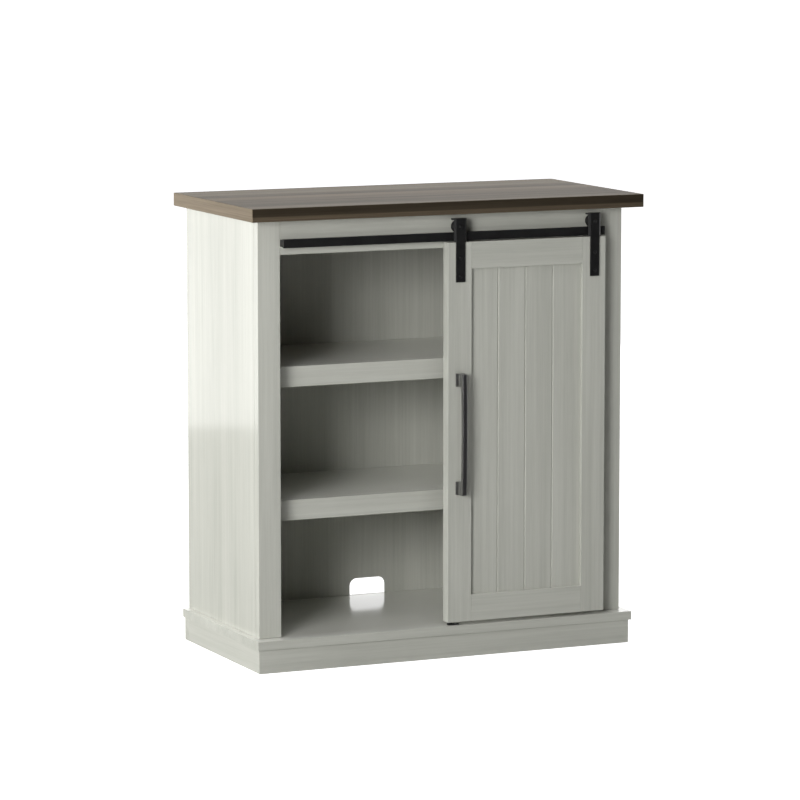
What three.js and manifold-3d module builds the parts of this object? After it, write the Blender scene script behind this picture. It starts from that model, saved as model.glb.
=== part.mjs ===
// Sideboard with three bays and one sliding barn door, in millimetres.
// X runs to the right, Y runs to the back and Z runs up. The door is shown at its right end.
import * as THREE from 'three';
import { mergeVertices } from 'three/addons/utils/BufferGeometryUtils.js';
import Module from 'manifold-3d';

const wasm = await Module();
wasm.setup();

// ---- driving dimensions ----
const GAP = 0.3;                 // between pieces that touch
const PAST = 1;                  // how far a cutting tool runs past a face

const TOP_WIDTH = 800.1;
const TOP_DEPTH = 393.7;
const TOTAL_HEIGHT = 863.6;
const TOP_THICKNESS = 24.8;

const CASE_WIDTH = 747.2;
const SIDE_THICKNESS = 16;
const FRAME_FRONT = -157;        // Y of the face frame's front
const FRAME_THICKNESS = 19;
const STILE_WIDTH = 44.5;
const TOP_RAIL_HEIGHT = 65;
const BACK_THICKNESS = 3;
const REBATE_WIDTH = 8;          // how far the back panel laps onto each side panel
const STRETCHER_HEIGHT = 80;

const LEDGE_WIDTH = 773;
const LEDGE_FRONT = -184;
const BASE_THICKNESS = 16.5;
const PLINTH_HEIGHT = 44.4;
const PLINTH_THICKNESS = 18;
const PLINTH_SETBACK = 4;        // of the plinth's faces behind the ledge's edges

const SHELF_TOPS = { lower: 310.8, upper: 561 };
const SHELF_THICKNESS = 16;
const APRON_HEIGHT = 38.3;
const APRON_THICKNESS = 18;
const APRON_FRONT = -115;
const PIN_ROWS = [-70, 150];     // Y of the shelf pins
const PIN_PITCH = 32;            // between one pin hole and the next, up a side panel
const PIN_RADIUS = 2.3;
const PIN_DEPTH = 9;
const PIN_HEAD_RADIUS = 3.2;
const PIN_HEAD_LENGTH = 7;

const NOTCH_WIDTH = 75;
const NOTCH_HEIGHT = 32.5;
const NOTCH_RADIUS = 14.5;

const DOOR_LEFT = -0.5;
const DOOR_WIDTH = 327.4;
const DOOR_BOTTOM = 67.9;
const DOOR_HEIGHT = 717.5;
const DOOR_FRONT = -182.3;
const DOOR_THICKNESS = 22.3;
const DOOR_STILE_WIDTH = 48;
const DOOR_RAIL_WIDTH = 50.2;
const PANEL_RECESS = 8;          // of the beadboard panel behind the door's face
const PANEL_THICKNESS = 8.1;
const PANEL_LAP = 8;             // depth of the groove that holds the panel
const BEAD_PITCH = 57;
const BEAD_COUNT = 3;
const BEAD_WIDTH = 3.2;
const BEAD_DEPTH = 2;

const TRACK_HEIGHT = 16.1;
const TRACK_BOTTOM = 787.5;
const TRACK_THICKNESS = 6;
const TRACK_FRONT = -175;
const SPACER_WIDTH = 16;
const SPACER_HEIGHT = 12.8;
const TRACK_BOLT = { radius: 2.3, headRadius: 4.6, headHeight: 3.2 };
const TRACK_HOLE_DEPTH = 4.6;    // of the blind holes in the back of the rail

const STRAP_THICKNESS = 3;
const STRAP_WIDTH = 18;
const STRAP_BOTTOM = 710.8;
const HEAD_BOTTOM = 786.3;
const HEAD_TOP = 829.9;
const HEAD_WIDTH = 26;
const HOOD_BACK = -170.5;        // Y where the hood over the wheel ends
const STRAP_SCREWS = [756, 721.5];
const WHEEL_TREAD_RADIUS = 10.5;
const WHEEL_FLANGE_RADIUS = 12;
const WHEEL_WIDTH = 10.6;
const TREAD_WIDTH = 7;
const WHEEL_EASE = 0.4;          // chamfer on the flanges' edges
const AXLE = { radius: 2.6, headRadius: 4, headHeight: 2.6 };
const BUSH_RADIUS = 4.5;
const NUT_RADIUS = 4.8;
const NUT_THICKNESS = 2.8;
const STRAP_SCREW = { radius: 2.1, headRadius: 3.6, headHeight: 2.2, depth: 14 };

const HANDLE_BOTTOM = 310.7;
const HANDLE_HEIGHT = 229.2;
const HANDLE_FOOT_WIDTH = 18;
const HANDLE_FOOT_HEIGHT = 25;
const HANDLE_FOOT_DEPTH = 12.1;
const HANDLE_FOOT_MARGIN = 0.5;  // of the foot beyond the bar's sides where they meet
const HANDLE_BAR_WIDTH = 9;
const HANDLE_BAR_DEPTH = 9.6;
const HANDLE_BOW = 3;            // of the bar's middle beyond its ends
const HANDLE_CHAMFER = 1.2;
const HANDLE_SCREW = { radius: 2, headRadius: 4.4, headHeight: 2.4, sinkDepth: 3, reach: 9 };

const GUIDE_GROOVE_WIDTH = 4;
const GUIDE_GROOVE_DEPTH = 9.5;
const GUIDE_STOP = 4;            // solid door left at each end of the groove
const GUIDE_BLADE_LENGTH = 8.2;
const GUIDE_HEADROOM = 2;        // between the blade's top and the groove
const GUIDE_FOOT = { length: 22, width: 10, thickness: 2 };
const GUIDE_SCREW = { inset: 20.5, radius: 1.5, headRadius: 3, headHeight: 1, depth: 12 };

// ---- worked-out places ----
const topUnderside = TOTAL_HEIGHT - TOP_THICKNESS;
const caseBack = TOP_DEPTH / 2;
const caseHalf = CASE_WIDTH / 2;
const caseInner = caseHalf - SIDE_THICKNESS;
const pinHeights = Object.values(SHELF_TOPS).map((top) => top - SHELF_THICKNESS - GAP - PIN_HEAD_RADIUS);
const openingHalf = caseHalf - STILE_WIDTH;
const frameBack = FRAME_FRONT + FRAME_THICKNESS;
const backFront = caseBack - BACK_THICKNESS;
const baseBottom = PLINTH_HEIGHT + GAP;
const bayFloor = baseBottom + BASE_THICKNESS;
const wallBottom = bayFloor + GAP;
const wallTop = topUnderside - GAP;
const ledgeHalf = LEDGE_WIDTH / 2;
const plinthHalf = ledgeHalf - PLINTH_SETBACK;
const plinthFront = LEDGE_FRONT + PLINTH_SETBACK;
const doorRight = DOOR_LEFT + DOOR_WIDTH;
const doorTop = DOOR_BOTTOM + DOOR_HEIGHT;
const doorBack = DOOR_FRONT + DOOR_THICKNESS;
const panelFront = DOOR_FRONT + PANEL_RECESS;
const trackBack = TRACK_FRONT + TRACK_THICKNESS;
const trackMiddle = TRACK_BOTTOM + TRACK_HEIGHT / 2;
const trackBolts = [SPACER_WIDTH / 2 - openingHalf, 0, openingHalf - SPACER_WIDTH / 2];
const strapFront = DOOR_FRONT - GAP - STRAP_THICKNESS;
const strapBack = DOOR_FRONT - GAP;
const axleHeight = TRACK_BOTTOM + TRACK_HEIGHT + GAP + WHEEL_TREAD_RADIUS;
const wheelMiddle = TRACK_FRONT + TRACK_THICKNESS / 2;
const wheelFront = wheelMiddle - WHEEL_WIDTH / 2;
const wheelBack = wheelMiddle + WHEEL_WIDTH / 2;
const doorStileMiddles = [DOOR_LEFT + DOOR_STILE_WIDTH / 2, doorRight - DOOR_STILE_WIDTH / 2];
const handleTop = HANDLE_BOTTOM + HANDLE_HEIGHT;
const handleScrews = [HANDLE_BOTTOM + HANDLE_FOOT_HEIGHT / 2, handleTop - HANDLE_FOOT_HEIGHT / 2];
const guideScrewX = DOOR_LEFT + GUIDE_SCREW.inset;
const barBack = DOOR_FRONT - GAP - HANDLE_FOOT_DEPTH - GAP;
const handleFront = barBack - HANDLE_BAR_DEPTH - HANDLE_BOW;
const handleProud = -TOP_DEPTH / 2 - handleFront;

// ---- finishes ----
function finish(color, roughness, metalness) {
  return () => new THREE.MeshStandardMaterial({ color, roughness, metalness });
}
const greyPaint = finish(0xa5a79e, 0.5, 0);
const walnut = finish(0x5a4a3c, 0.55, 0);
const blackMetal = finish(0x242425, 0.45, 0.6);
const gunmetal = finish(0x3c3b3c, 0.3, 0.9);
const nylon = finish(0x1c1c1c, 0.5, 0);
const zinc = finish(0xa9abad, 0.35, 0.9);

// ---- making solids ----
function node(name, geometry, material) {
  const mesh = new THREE.Mesh(geometry, material());
  mesh.name = name;
  return mesh;
}

function boxGeometry([x0, x1], [y0, y1], [z0, z1]) {
  const box = new THREE.BoxGeometry(x1 - x0, y1 - y0, z1 - z0);
  return box.translate((x0 + x1) / 2, (y0 + y1) / 2, (z0 + z1) / 2);
}

function board(name, xRange, yRange, zRange, material) {
  return node(name, boxGeometry(xRange, yRange, zRange), material);
}

function outline(points) {
  return new THREE.Shape(points.map(([a, b]) => new THREE.Vector2(a, b)));
}

// An outline drawn in plan, as X and Y, drawn up from one height to another.
function upright(shape, z0, z1) {
  const solid = new THREE.ExtrudeGeometry(shape, { depth: z1 - z0, bevelEnabled: false });
  return solid.translate(0, 0, z0);
}

// An outline drawn from the side, as Y and Z, drawn along X. Settings may add a chamfer.
function crosswise(shape, x0, x1, settings = { bevelEnabled: false }) {
  const solid = new THREE.ExtrudeGeometry(shape, { depth: x1 - x0, ...settings });
  const turn = new THREE.Matrix4().makeBasis(
    new THREE.Vector3(0, 1, 0),
    new THREE.Vector3(0, 0, 1),
    new THREE.Vector3(1, 0, 0),
  );
  return solid.applyMatrix4(turn).translate(x0, 0, 0);
}

// An outline drawn from the front, as X and Z, drawn forwards from y1 to y0.
function facing(shape, y0, y1) {
  const solid = new THREE.ExtrudeGeometry(shape, { depth: y1 - y0, bevelEnabled: false });
  return solid.rotateX(Math.PI / 2).translate(0, y1, 0);
}

// A turned piece on an axis along Y. The profile is radius and Y, from front to back.
function turned(profile, x, z, segments = 20) {
  const points = profile.map(([radius, y]) => new THREE.Vector2(radius, y));
  return new THREE.LatheGeometry(points, segments).translate(x, 0, z);
}

// Points of a domed head from its crown at y0 down to its rim.
function dome(radius, height, y0, steps = 4) {
  return Array.from({ length: steps + 1 }, (unused, i) => {
    const angle = (i / steps) * Math.PI / 2;
    return [radius * Math.sin(angle), y0 + height * (1 - Math.cos(angle))];
  });
}

function toSolid(geometry) {
  const bare = geometry.clone();
  bare.deleteAttribute('normal');
  bare.deleteAttribute('uv');
  const merged = mergeVertices(bare, 1e-4);
  return new wasm.Manifold(new wasm.Mesh({
    numProp: 3,
    vertProperties: new Float32Array(merged.attributes.position.array),
    triVerts: new Uint32Array(merged.index.array),
  }));
}

function toGeometry(solid) {
  const mesh = solid.getMesh();
  const geometry = new THREE.BufferGeometry();
  geometry.setAttribute('position', new THREE.BufferAttribute(mesh.vertProperties, 3));
  geometry.setIndex(new THREE.BufferAttribute(mesh.triVerts, 1));
  geometry.computeVertexNormals();
  return geometry;
}

function join(first, ...others) {
  return toGeometry(others.reduce((solid, next) => solid.add(toSolid(next)), toSolid(first)));
}

function cut(geometry, ...tools) {
  return toGeometry(tools.reduce((solid, tool) => solid.subtract(toSolid(tool)), toSolid(geometry)));
}

// A drill along Y from y0 to y1.
function drillY(radius, x, z, y0, y1) {
  const tool = new THREE.CylinderGeometry(radius, radius, y1 - y0, 16);
  return tool.translate(x, (y0 + y1) / 2, z);
}

// A drill along X from x0 to x1.
function drillX(radius, y, z, x0, x1) {
  const tool = new THREE.CylinderGeometry(radius, radius, Math.abs(x1 - x0), 12);
  return tool.rotateZ(Math.PI / 2).translate((x0 + x1) / 2, y, z);
}

// A drill along Z from z0 to z1.
function drillZ(radius, x, y, z0, z1) {
  const tool = new THREE.CylinderGeometry(radius, radius, z1 - z0, 12);
  return tool.rotateX(Math.PI / 2).translate(x, y, (z0 + z1) / 2);
}

// ---- top and case ----
function topPanel() {
  const half = TOP_WIDTH / 2;
  return board('top_panel', [-half, half], [-caseBack, caseBack], [topUnderside, TOTAL_HEIGHT], walnut);
}

// Side panel with a rebate for the back panel and rows of pin holes. side is -1 or 1.
function sidePanel(name, side) {
  const rebateInner = caseInner + REBATE_WIDTH + GAP;
  const plan = outline([
    [side * caseHalf, frameBack + GAP],
    [side * caseHalf, caseBack],
    [side * rebateInner, caseBack],
    [side * rebateInner, backFront - GAP],
    [side * caseInner, backFront - GAP],
    [side * caseInner, frameBack + GAP],
  ]);
  const holes = [];
  for (const y of PIN_ROWS) {
    for (const height of pinHeights) {
      for (const step of [-1, 0, 1]) {
        const z = height + step * PIN_PITCH;
        const depth = caseInner + PIN_DEPTH;
        holes.push(drillX(PIN_RADIUS + GAP, y, z, side * (caseInner - PAST), side * depth));
      }
    }
  }
  return node(name, cut(upright(plan, wallBottom, wallTop), ...holes), greyPaint);
}

function faceStile(name, side) {
  const outer = side * caseHalf;
  const inner = side * openingHalf;
  const across = [Math.min(outer, inner), Math.max(outer, inner)];
  return board(name, across, [FRAME_FRONT, frameBack], [wallBottom, wallTop], greyPaint);
}

function topRail() {
  const half = openingHalf - GAP;
  const bottom = topUnderside - TOP_RAIL_HEIGHT;
  const rail = boxGeometry([-half, half], [FRAME_FRONT, frameBack], [bottom, wallTop]);
  const holes = trackBolts.map((x) => drillY(
    TRACK_BOLT.radius + GAP, x, trackMiddle, FRAME_FRONT - PAST, frameBack + PAST,
  ));
  return node('top_rail', cut(rail, ...holes), greyPaint);
}

function rearStretcher() {
  const half = caseInner - GAP;
  const back = backFront - 2 * GAP;
  const depth = [back - SIDE_THICKNESS, back];
  return board('rear_stretcher', [-half, half], depth, [wallTop - STRETCHER_HEIGHT, wallTop], greyPaint);
}

// Back panel with a cable notch that is open to the bay's floor.
function backPanel() {
  const half = caseInner + REBATE_WIDTH;
  const notchHalf = NOTCH_WIDTH / 2;
  const notchTop = bayFloor + NOTCH_HEIGHT;
  const shape = new THREE.Shape();
  shape.moveTo(-half, wallBottom);
  shape.lineTo(-notchHalf, wallBottom);
  shape.lineTo(-notchHalf, notchTop - NOTCH_RADIUS);
  shape.absarc(NOTCH_RADIUS - notchHalf, notchTop - NOTCH_RADIUS, NOTCH_RADIUS, Math.PI, Math.PI / 2, true);
  shape.absarc(notchHalf - NOTCH_RADIUS, notchTop - NOTCH_RADIUS, NOTCH_RADIUS, Math.PI / 2, 0, true);
  shape.lineTo(notchHalf, wallBottom);
  shape.lineTo(half, wallBottom);
  shape.lineTo(half, wallTop);
  shape.lineTo(-half, wallTop);
  return node('back_panel', facing(shape, backFront, caseBack), greyPaint);
}

// ---- base ----
function bottomPanel() {
  const panel = boxGeometry([-ledgeHalf, ledgeHalf], [LEDGE_FRONT, caseBack], [baseBottom, bayFloor]);
  const holeEnd = bayFloor - GUIDE_SCREW.depth;
  const hole = drillZ(GUIDE_SCREW.radius + GAP, guideScrewX, wheelMiddle, holeEnd, bayFloor + PAST);
  return node('bottom_panel', cut(panel, hole), greyPaint);
}

function plinthBoard(name, corners) {
  return node(name, upright(outline(corners), 0, PLINTH_HEIGHT), greyPaint);
}

// The front corners are mitred, and the rear board runs the full width behind the side boards.
function plinth() {
  const inner = plinthHalf - PLINTH_THICKNESS;
  const frontInner = plinthFront + PLINTH_THICKNESS;
  const rearFront = caseBack - PLINTH_THICKNESS;
  const boards = [plinthBoard('plinth_front', [
    [-plinthHalf, plinthFront],
    [plinthHalf, plinthFront],
    [inner, frontInner],
    [-inner, frontInner],
  ])];
  for (const [name, side] of [['plinth_left', -1], ['plinth_right', 1]]) {
    boards.push(plinthBoard(name, [
      [side * plinthHalf, plinthFront + 2 * GAP],
      [side * plinthHalf, rearFront - GAP],
      [side * inner, rearFront - GAP],
      [side * inner, frontInner + 2 * GAP],
    ]));
  }
  const half = PLINTH_THICKNESS / 2;
  const height = [0, PLINTH_HEIGHT];
  boards.push(board('plinth_rear', [-plinthHalf, plinthHalf], [rearFront, caseBack], height, greyPaint));
  boards.push(board('plinth_brace', [-half, half], [frontInner + GAP, rearFront - GAP], height, greyPaint));
  return boards;
}

// ---- shelves ----
function shelf(level, top) {
  const half = caseInner - 2 * GAP;
  const boardFront = APRON_FRONT + APRON_THICKNESS + GAP;
  const boardBack = backFront - 2 * GAP;
  return [
    board(`${level}_shelf_apron`, [-half, half], [APRON_FRONT, APRON_FRONT + APRON_THICKNESS],
      [top - APRON_HEIGHT, top], greyPaint),
    board(`${level}_shelf_board`, [-half, half], [boardFront, boardBack],
      [top - SHELF_THICKNESS, top], greyPaint),
  ];
}

// A pin points out of the side panel into the bay, under the shelf.
function shelfPin(name, side, y, z) {
  const shank = PIN_DEPTH - 2 * GAP;
  const profile = [
    [0, -shank],
    [PIN_RADIUS, -shank],
    [PIN_RADIUS, 0],
    [PIN_HEAD_RADIUS, GAP],
    [PIN_HEAD_RADIUS, PIN_HEAD_LENGTH],
    [0, PIN_HEAD_LENGTH],
  ];
  const pin = node(name, turned(profile, 0, 0, 12), zinc);
  pin.rotation.z = side * Math.PI / 2;
  pin.position.set(side * caseInner, y, z);
  return pin;
}

function shelfPins() {
  const pins = [];
  Object.keys(SHELF_TOPS).forEach((level, i) => {
    for (const [hand, side] of [['left', -1], ['right', 1]]) {
      for (const [place, y] of [['front', PIN_ROWS[0]], ['rear', PIN_ROWS[1]]]) {
        pins.push(shelfPin(`shelf_pin_${level}_${hand}_${place}`, side, y, pinHeights[i]));
      }
    }
  });
  return pins;
}

// ---- track ----
function track() {
  const height = [TRACK_BOTTOM, TRACK_BOTTOM + TRACK_HEIGHT];
  const rail = boxGeometry([-openingHalf, openingHalf], [TRACK_FRONT, trackBack], height);
  const hole = TRACK_BOLT.radius + GAP;
  const sockets = trackBolts.map((x) => drillY(
    hole, x, trackMiddle, trackBack - TRACK_HOLE_DEPTH, trackBack + PAST,
  ));
  const pieces = [node('track_rail', cut(rail, ...sockets), blackMetal)];
  ['left', 'middle', 'right'].forEach((place, i) => {
    const x = trackBolts[i];
    const block = boxGeometry(
      [x - SPACER_WIDTH / 2, x + SPACER_WIDTH / 2],
      [trackBack + GAP, FRAME_FRONT - GAP],
      [trackMiddle - SPACER_HEIGHT / 2, trackMiddle + SPACER_HEIGHT / 2],
    );
    const bore = drillY(hole, x, trackMiddle, trackBack, FRAME_FRONT);
    pieces.push(node(`track_spacer_${place}`, cut(block, bore), blackMetal));
    pieces.push(node(`track_bolt_${place}`, trackBolt(x), zinc));
  });
  return pieces;
}

function trackBolt(x) {
  const tip = trackBack - TRACK_HOLE_DEPTH + GAP;
  const seat = frameBack + GAP;
  const { radius, headRadius, headHeight } = TRACK_BOLT;
  return turned([
    [0, tip],
    [radius, tip],
    [radius, seat],
    [headRadius, seat],
    [headRadius, seat + headHeight],
    [0, seat + headHeight],
  ], x, trackMiddle, 16);
}

// ---- door ----
// The groove in the door's bottom edge that the guide runs in.
function guideGroove() {
  return boxGeometry(
    [DOOR_LEFT + GUIDE_STOP, doorRight - GUIDE_STOP],
    [wheelMiddle - GUIDE_GROOVE_WIDTH / 2, wheelMiddle + GUIDE_GROOVE_WIDTH / 2],
    [DOOR_BOTTOM - PAST, DOOR_BOTTOM + GUIDE_GROOVE_DEPTH],
  );
}

// A door stile. inward is 1 on the left stile and -1 on the right one.
function doorStile(name, outer, inward, holes) {
  const inner = outer + inward * DOOR_STILE_WIDTH;
  const grooveEnd = inner - inward * PANEL_LAP;
  const grooveFront = panelFront - GAP;
  const grooveBack = panelFront + PANEL_THICKNESS + GAP;
  const plan = outline([
    [outer, DOOR_FRONT],
    [inner, DOOR_FRONT],
    [inner, grooveFront],
    [grooveEnd, grooveFront],
    [grooveEnd, grooveBack],
    [inner, grooveBack],
    [inner, doorBack],
    [outer, doorBack],
  ]);
  return node(name, cut(upright(plan, DOOR_BOTTOM, doorTop), guideGroove(), ...holes), greyPaint);
}

function strapScrewHoles(x) {
  return STRAP_SCREWS.map((z) => drillY(
    STRAP_SCREW.radius + GAP, x, z, DOOR_FRONT - PAST, DOOR_FRONT + STRAP_SCREW.depth,
  ));
}

function handleScrewHoles(x) {
  return handleScrews.flatMap((z) => [
    drillY(HANDLE_SCREW.radius + GAP, x, z, DOOR_FRONT - PAST, doorBack + PAST),
    drillY(HANDLE_SCREW.headRadius + 2 * GAP, x, z, doorBack - HANDLE_SCREW.sinkDepth, doorBack + PAST),
  ]);
}

// A door rail with a stub tenon at each end. upward is 1 on the bottom rail and -1 on the top one.
function doorRail(name, outer, upward) {
  const inner = outer + upward * DOOR_RAIL_WIDTH;
  const grooveEnd = inner - upward * PANEL_LAP;
  const grooveFront = panelFront - GAP;
  const grooveBack = panelFront + PANEL_THICKNESS + GAP;
  const left = DOOR_LEFT + DOOR_STILE_WIDTH + GAP;
  const right = doorRight - DOOR_STILE_WIDTH - GAP;
  const profile = outline([
    [DOOR_FRONT, outer],
    [DOOR_FRONT, inner],
    [grooveFront, inner],
    [grooveFront, grooveEnd],
    [grooveBack, grooveEnd],
    [grooveBack, inner],
    [doorBack, inner],
    [doorBack, outer],
  ]);
  const tenonReach = PANEL_LAP - 2 * GAP;
  const tenons = boxGeometry(
    [left - tenonReach, right + tenonReach],
    [panelFront, panelFront + PANEL_THICKNESS],
    [Math.min(outer, grooveEnd), Math.max(outer, grooveEnd)],
  );
  const rail = join(crosswise(profile, left, right), tenons);
  return node(name, cut(rail, guideGroove()), greyPaint);
}

// The panel floats in the grooves of the door's frame, with V grooves down its face.
function doorPanel() {
  const lap = PANEL_LAP - 2 * GAP;
  const left = DOOR_LEFT + DOOR_STILE_WIDTH - lap;
  const right = doorRight - DOOR_STILE_WIDTH + lap;
  const middle = (left + right) / 2;
  const plan = [[left, panelFront]];
  for (let i = 0; i < BEAD_COUNT; i += 1) {
    const x = middle + (i - (BEAD_COUNT - 1) / 2) * BEAD_PITCH;
    plan.push([x - BEAD_WIDTH / 2, panelFront]);
    plan.push([x, panelFront + BEAD_DEPTH]);
    plan.push([x + BEAD_WIDTH / 2, panelFront]);
  }
  plan.push([right, panelFront]);
  plan.push([right, panelFront + PANEL_THICKNESS]);
  plan.push([left, panelFront + PANEL_THICKNESS]);
  const bottom = DOOR_BOTTOM + DOOR_RAIL_WIDTH - lap;
  const top = doorTop - DOOR_RAIL_WIDTH + lap;
  return node('door_panel', upright(outline(plan), bottom, top), greyPaint);
}

// ---- handle ----
function handleFoot(name, bottom) {
  const x = doorStileMiddles[0];
  const wide = HANDLE_FOOT_WIDTH / 2;
  const narrow = HANDLE_BAR_WIDTH / 2 + HANDLE_FOOT_MARGIN;
  const back = DOOR_FRONT - GAP;
  const front = back - HANDLE_FOOT_DEPTH;
  const plan = new THREE.Shape();
  plan.moveTo(x - wide, back);
  plan.quadraticCurveTo(x - narrow, back - HANDLE_FOOT_DEPTH / 3, x - narrow, front);
  plan.lineTo(x + narrow, front);
  plan.quadraticCurveTo(x + narrow, back - HANDLE_FOOT_DEPTH / 3, x + wide, back);
  const block = upright(plan, bottom, bottom + HANDLE_FOOT_HEIGHT);
  const socket = drillY(
    HANDLE_SCREW.radius + GAP, x, bottom + HANDLE_FOOT_HEIGHT / 2, back - HANDLE_SCREW.reach, back + PAST,
  );
  return node(name, cut(block, socket), gunmetal);
}

// The bar is a chamfered strip, bowed outwards between its ends.
function handleBar() {
  const x = doorStileMiddles[0];
  const half = HANDLE_BAR_WIDTH / 2 - HANDLE_CHAMFER;
  const middle = HANDLE_BOTTOM + HANDLE_HEIGHT / 2;
  const barFront = barBack - HANDLE_BAR_DEPTH;
  const flatTop = handleTop - HANDLE_FOOT_HEIGHT;
  const flatBottom = HANDLE_BOTTOM + HANDLE_FOOT_HEIGHT;
  const side = new THREE.Shape();
  side.moveTo(barBack, HANDLE_BOTTOM);
  side.lineTo(barBack, flatBottom);
  side.quadraticCurveTo(barBack - 2 * HANDLE_BOW, middle, barBack, flatTop);
  side.lineTo(barBack, handleTop);
  side.lineTo(barFront, handleTop);
  side.quadraticCurveTo(barFront - 2 * HANDLE_BOW, middle, barFront, HANDLE_BOTTOM);
  const bar = crosswise(side, x - half, x + half, {
    bevelSize: HANDLE_CHAMFER,
    bevelThickness: HANDLE_CHAMFER,
    bevelOffset: -HANDLE_CHAMFER,
    bevelSegments: 1,
    curveSegments: 14,
  });
  return node('handle_bar', bar, gunmetal);
}

// A screw from behind the door, with its head in a counterbore.
function handleScrew(name, z) {
  const { radius, headRadius, headHeight, sinkDepth, reach } = HANDLE_SCREW;
  const tip = DOOR_FRONT - reach;
  const seat = doorBack - sinkDepth + GAP;
  return node(name, turned([
    [0, tip],
    [radius, tip],
    [radius, seat],
    [headRadius, seat],
    [headRadius, seat + headHeight],
    [0, seat + headHeight],
  ], doorStileMiddles[0], z, 16), zinc);
}

// ---- hangers ----
function hangerStrap(name, x) {
  const half = STRAP_WIDTH / 2;
  const wide = HEAD_WIDTH / 2;
  const strapHeight = [STRAP_BOTTOM, HEAD_BOTTOM + PAST];
  const strap = boxGeometry([x - half, x + half], [strapFront, strapBack], strapHeight);
  const headPlan = outline([
    [x - half, strapFront],
    [x + half, strapFront],
    [x + wide, strapBack],
    [x - wide, strapBack],
  ]);
  const hoodHeight = [HEAD_TOP - STRAP_THICKNESS, HEAD_TOP];
  const hood = boxGeometry([x - wide, x + wide], [strapBack - GAP, HOOD_BACK], hoodHeight);
  const holes = STRAP_SCREWS.map((z) => drillY(
    STRAP_SCREW.radius + GAP, x, z, strapFront - PAST, strapBack + PAST,
  ));
  holes.push(drillY(AXLE.radius + GAP, x, axleHeight, strapFront - PAST, strapBack + PAST));
  const body = join(strap, upright(headPlan, HEAD_BOTTOM, HEAD_TOP), hood);
  return node(name, cut(body, ...holes), blackMetal);
}

// The wheel's flanges reach down on both sides of the rail.
function wheel(name, x) {
  const bore = AXLE.radius + GAP;
  const lip = (WHEEL_WIDTH - TREAD_WIDTH) / 2;
  const ease = WHEEL_EASE;
  const profile = [
    [bore, wheelFront],
    [WHEEL_FLANGE_RADIUS - ease, wheelFront],
    [WHEEL_FLANGE_RADIUS, wheelFront + ease],
    [WHEEL_FLANGE_RADIUS, wheelFront + lip - ease],
    [WHEEL_TREAD_RADIUS, wheelFront + lip],
    [WHEEL_TREAD_RADIUS, wheelBack - lip],
    [WHEEL_FLANGE_RADIUS, wheelBack - lip + ease],
    [WHEEL_FLANGE_RADIUS, wheelBack - ease],
    [WHEEL_FLANGE_RADIUS - ease, wheelBack],
    [bore, wheelBack],
    [bore, wheelFront],
  ];
  return node(name, turned(profile, x, axleHeight, 36), nylon);
}

// A round ring, or a hexagonal one with 6 sides, around a bore.
function ring(innerRadius, outerRadius, y0, y1, x, z, sides) {
  const blank = new THREE.CylinderGeometry(outerRadius, outerRadius, y1 - y0, sides);
  blank.translate(x, (y0 + y1) / 2, z);
  return cut(blank, drillY(innerRadius, x, z, y0 - PAST, y1 + PAST));
}

function headedPin({ radius, headRadius, headHeight }, tip, x, z) {
  const underHead = strapFront - GAP;
  return turned([
    ...dome(headRadius, headHeight, underHead - headHeight),
    [radius, underHead],
    [radius, tip],
    [0, tip],
  ], x, z);
}

function axlePieces(place, x) {
  const bore = AXLE.radius + GAP;
  const nutFront = wheelBack + GAP;
  const nutBack = nutFront + NUT_THICKNESS;
  return [
    node(`axle_bolt_${place}`, headedPin(AXLE, nutBack + GAP, x, axleHeight), blackMetal),
    node(`wheel_bush_${place}`,
      ring(bore, BUSH_RADIUS, strapBack + GAP, wheelFront - GAP, x, axleHeight, 16), zinc),
    node(`axle_nut_${place}`, ring(bore, NUT_RADIUS, nutFront, nutBack, x, axleHeight, 6), zinc),
  ];
}

function hangerScrews(place, x) {
  const tip = DOOR_FRONT + STRAP_SCREW.depth - GAP;
  return ['upper', 'lower'].map((level, i) => node(
    `hanger_screw_${place}_${level}`, headedPin(STRAP_SCREW, tip, x, STRAP_SCREWS[i]), blackMetal,
  ));
}

// ---- door guide ----
// A foot on the ledge with a blade that runs in the door's groove and stops it at both ends.
function doorGuide() {
  const left = DOOR_LEFT + GUIDE_STOP + GAP;
  const bladeHalf = GUIDE_GROOVE_WIDTH / 2 - GAP;
  const footHalf = GUIDE_FOOT.width / 2;
  const footTop = wallBottom + GUIDE_FOOT.thickness;
  const bladeTop = DOOR_BOTTOM + GUIDE_GROOVE_DEPTH - GUIDE_HEADROOM;
  const foot = boxGeometry(
    [left, left + GUIDE_FOOT.length],
    [wheelMiddle - footHalf, wheelMiddle + footHalf],
    [wallBottom, footTop],
  );
  const blade = boxGeometry(
    [left, left + GUIDE_BLADE_LENGTH],
    [wheelMiddle - bladeHalf, wheelMiddle + bladeHalf],
    [footTop - GAP, bladeTop],
  );
  const { radius, headRadius, headHeight, depth } = GUIDE_SCREW;
  const hole = drillZ(radius + GAP, guideScrewX, wheelMiddle, wallBottom - PAST, footTop + PAST);
  const guide = node('door_guide', cut(join(foot, blade), hole), nylon);

  const tip = bayFloor - depth + 2 * GAP;
  const underHead = footTop + GAP;
  const profile = [
    [0, tip],
    [radius, tip],
    [radius, underHead],
    [headRadius, underHead],
    [headRadius, underHead + headHeight],
    [0, underHead + headHeight],
  ];
  const screw = node('guide_screw', turned(profile, 0, 0, 12), zinc);
  screw.rotation.x = Math.PI / 2;
  screw.position.set(guideScrewX, wheelMiddle, 0);
  return [guide, screw];
}

// ---- the whole piece ----
const cabinet = new THREE.Group();
cabinet.add(
  topPanel(),
  sidePanel('left_side_panel', -1),
  sidePanel('right_side_panel', 1),
  faceStile('left_stile', -1),
  faceStile('right_stile', 1),
  topRail(),
  rearStretcher(),
  backPanel(),
  bottomPanel(),
  ...plinth(),
  ...Object.entries(SHELF_TOPS).flatMap(([level, top]) => shelf(level, top)),
  ...shelfPins(),
  ...track(),
  ...doorGuide(),
);

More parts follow.
